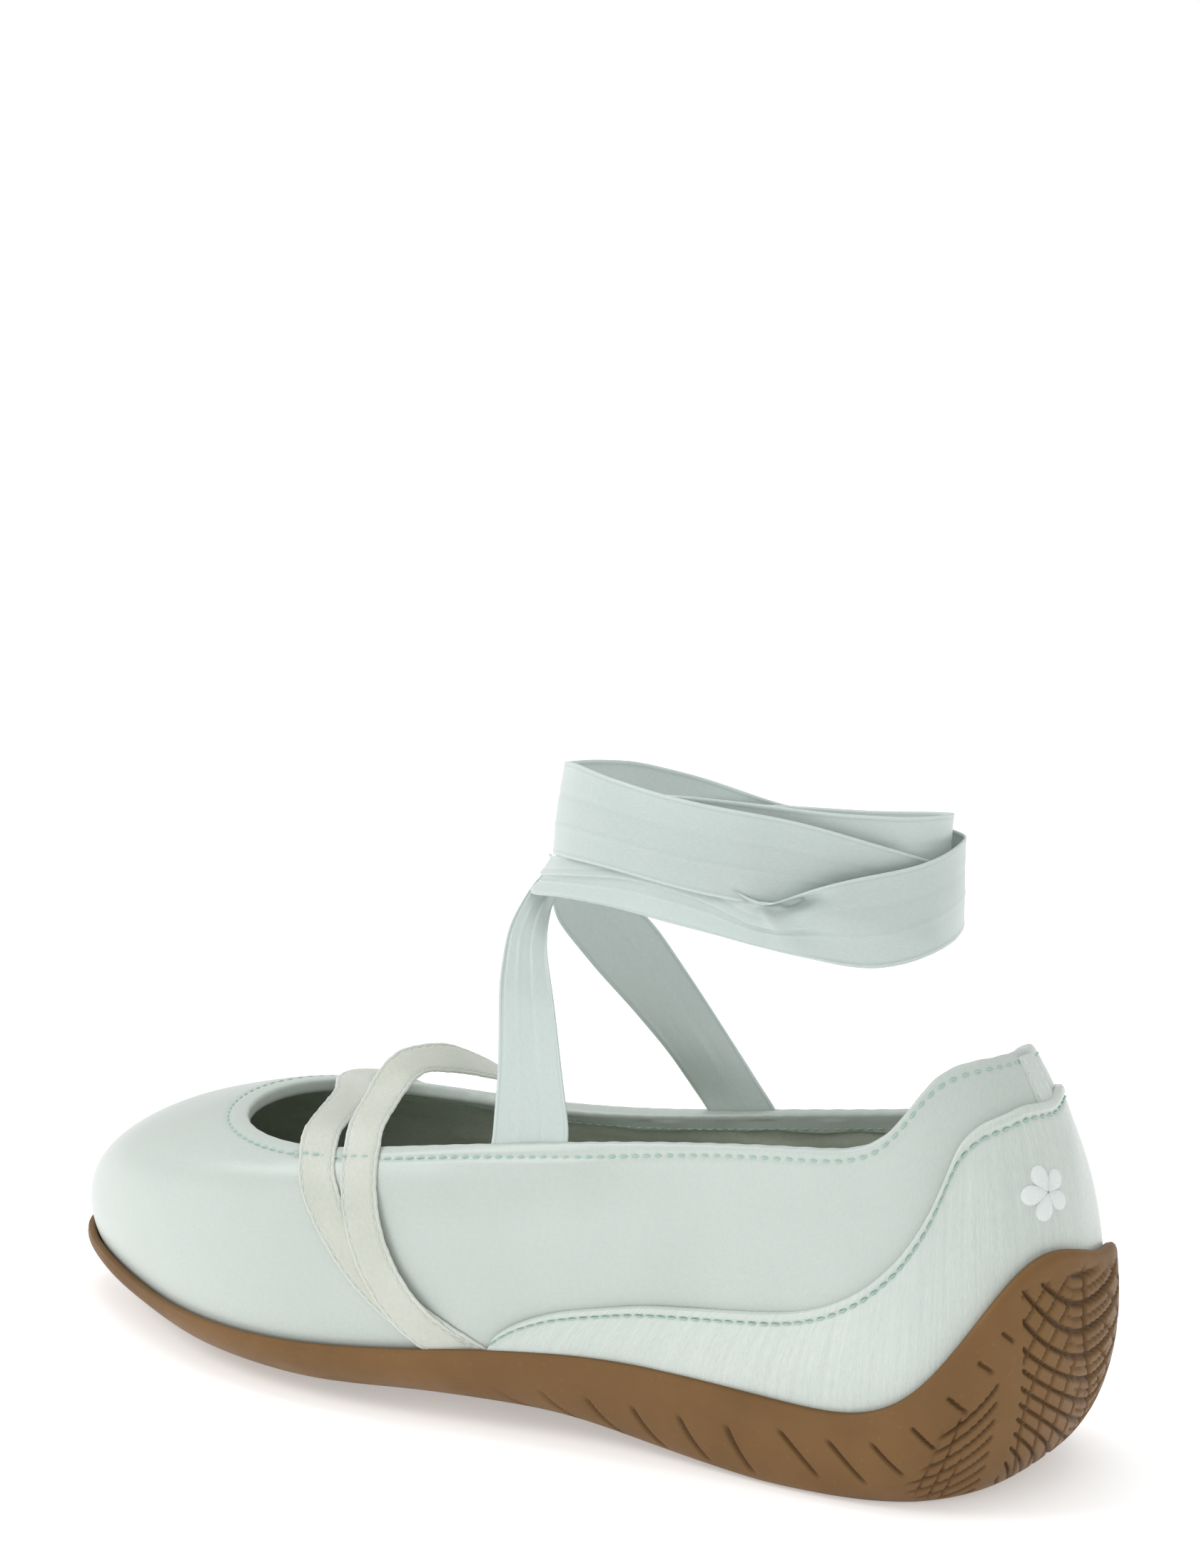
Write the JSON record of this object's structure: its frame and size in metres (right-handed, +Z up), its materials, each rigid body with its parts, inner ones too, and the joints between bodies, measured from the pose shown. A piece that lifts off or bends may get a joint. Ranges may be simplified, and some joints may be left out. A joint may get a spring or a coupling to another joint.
{
  "type": "ballet slipper",
  "caption": "Low satin slipper with a gum rubber cup sole, instep straps and a ribbon tied round the ankle.",
  "frame": {"origin": "middle of the shoe's footprint box, on the ground", "axes": "+Z up; the toe points to -X and the heel to +X; -Y is the outer side of this left shoe, +Y the inner side"},
  "size_m": [0.251, 0.0848, 0.1341],
  "materials": {
    "satin": "pale mint satin, softly shiny",
    "satin_edge": "pale mint satin with a glossy turned edge",
    "ribbon": "double-faced pale mint satin ribbon",
    "strap": "cream-mint elastic satin tape",
    "gum": "gum rubber, matt",
    "lining": "grey-green woven lining",
    "board": "fibre insole board",
    "foam": "cellular foam",
    "stiffener": "thermoplastic stiffener sheet"
  },
  "bodies": {
    "shoe": {"outsole": "gum", "heel_wedge": "foam", "forefoot_filler": "foam", "lasting_board": "board", "insole_foam": "foam", "insole_cover": "lining", "upper": "satin", "vamp_lining": "lining", "quarter_lining": "lining", "toe_puff": "stiffener", "heel_counter": "stiffener", "collar_foam": "foam", "topline_binding": "satin_edge", "heel_overlay": "satin_edge", "back_tab": "satin_edge", "heel_blossom": "strap", "front_strap_leg_lateral": "strap", "front_strap_leg_medial": "strap", "rear_strap_leg_lateral": "strap", "rear_strap_leg_medial": "strap", "ribbon_tail_lateral": "ribbon", "ribbon_tail_medial": "ribbon"},
    "front_strap": {"front_strap_arch": "strap"},
    "rear_strap": {"rear_strap_arch": "strap"},
    "ankle_ribbons": {"ankle_ribbon_lateral": "ribbon", "ankle_ribbon_medial": "ribbon"}
  },
  "joints": [
    {"name": "front_strap_swing", "type": "hinge", "parent": "shoe", "child": "front_strap", "pos_m": [-0.05032, -0.0044, 0.0557], "axis": [-0.4138, 0.9104, -0.0055], "range_deg": [-30, 10], "stiffness_Nm_per_rad": 0.01},
    {"name": "rear_strap_swing", "type": "hinge", "parent": "shoe", "child": "rear_strap", "pos_m": [-0.02832, -0.00165, 0.05875], "axis": [0.0721, 0.9973, -0.012], "range_deg": [-8, 45], "stiffness_Nm_per_rad": 0.01},
    {"name": "ankle_ribbon_swing", "type": "hinge", "parent": "shoe", "child": "ankle_ribbons", "pos_m": [0.02243, -0.0016, 0.06888], "axis": [0.3308, 0.9414, -0.066], "range_deg": [-30, 10]}
  ]
}
